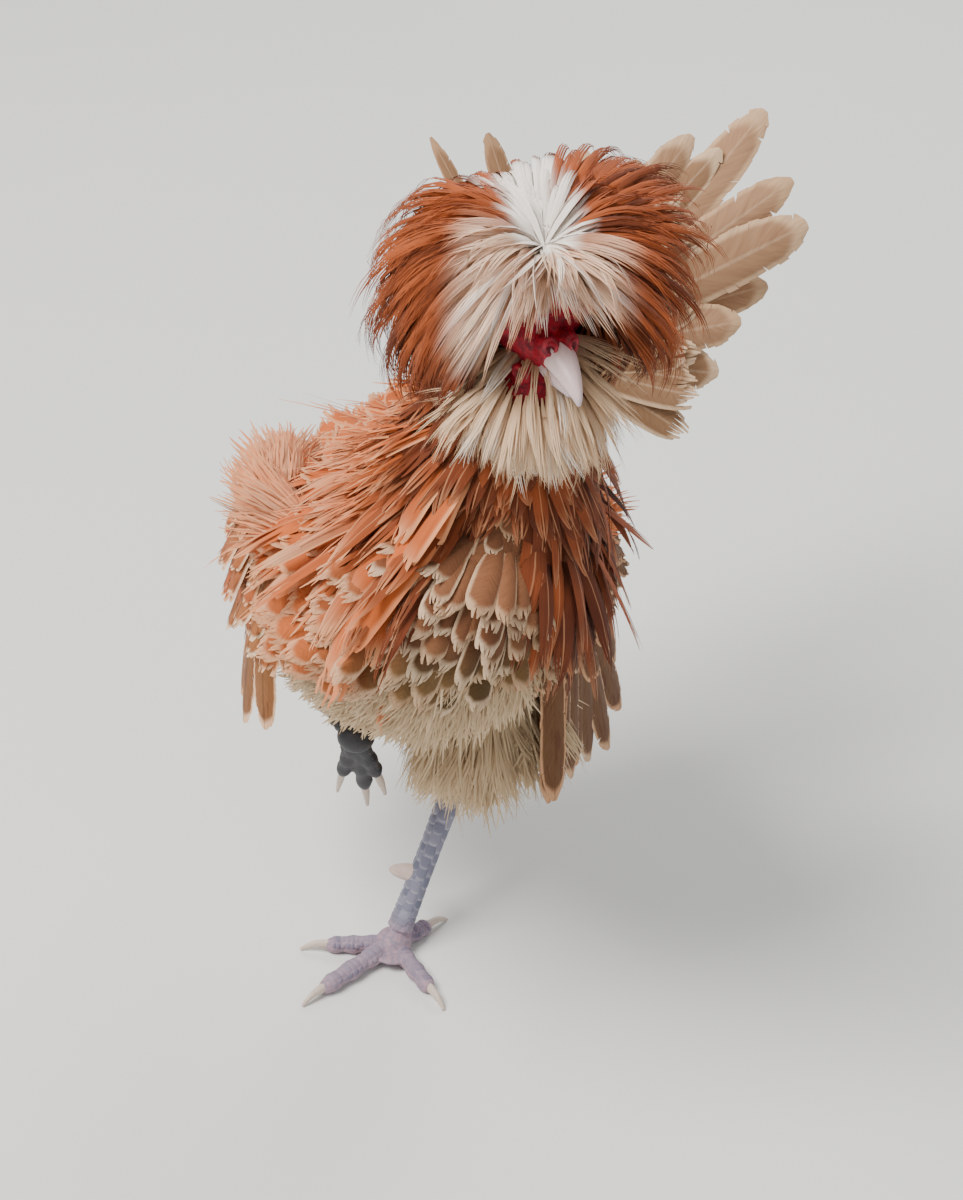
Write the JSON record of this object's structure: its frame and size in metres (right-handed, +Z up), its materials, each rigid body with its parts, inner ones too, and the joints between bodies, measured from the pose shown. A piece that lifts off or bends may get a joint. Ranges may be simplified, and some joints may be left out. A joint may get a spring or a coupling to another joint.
{
  "type": "crested chicken model",
  "caption": "Still, life-size model of a bearded crested chicken walking: one foot planted, one raised, head turned, hackle fluffed, wings lowered, tail fanned.",
  "frame": {"origin": "centre of the flat sole under the pad of the standing (left) foot", "axes": "+Z up, the bird faces -Y, its left side is +X"},
  "size_m": [0.233, 0.3359, 0.4431],
  "materials": {
    "eye": "gloss",
    "face_skin": "satin",
    "horn": "satin",
    "leg_scales": "satin",
    "claw": "satin",
    "toe_scales": "satin",
    "breast_plumage": "matte",
    "fluff_plumage": "matte",
    "wing_plumage": "matte",
    "beard_plumage": "matte",
    "hackle_plumage": "matte",
    "crest_plumage": "matte",
    "tail_plumage": "matte"
  },
  "bodies": {
    "root": {"eye_left": "eye", "eye_right": "eye", "head": "face_skin", "beak_upper": "horn", "beak_lower": "horn", "comb": "face_skin", "wattle_left": "face_skin", "wattle_right": "face_skin", "shank_left": "leg_scales", "spur_left": "claw", "claw_left_inner": "claw", "claw_left_middle": "claw", "claw_left_outer": "claw", "claw_left_hind": "claw", "foot_left": "toe_scales", "shank_right": "leg_scales", "spur_right": "claw", "claw_right_inner": "claw", "claw_right_middle": "claw", "claw_right_outer": "claw", "claw_right_hind": "claw", "foot_right": "toe_scales", "torso": "breast_plumage", "thigh_left": "fluff_plumage", "thigh_right": "fluff_plumage", "wing_left": "wing_plumage", "wing_right": "wing_plumage", "beard": "beard_plumage", "neck": "hackle_plumage", "crest": "crest_plumage", "tail": "tail_plumage"}
  },
  "joints": []
}
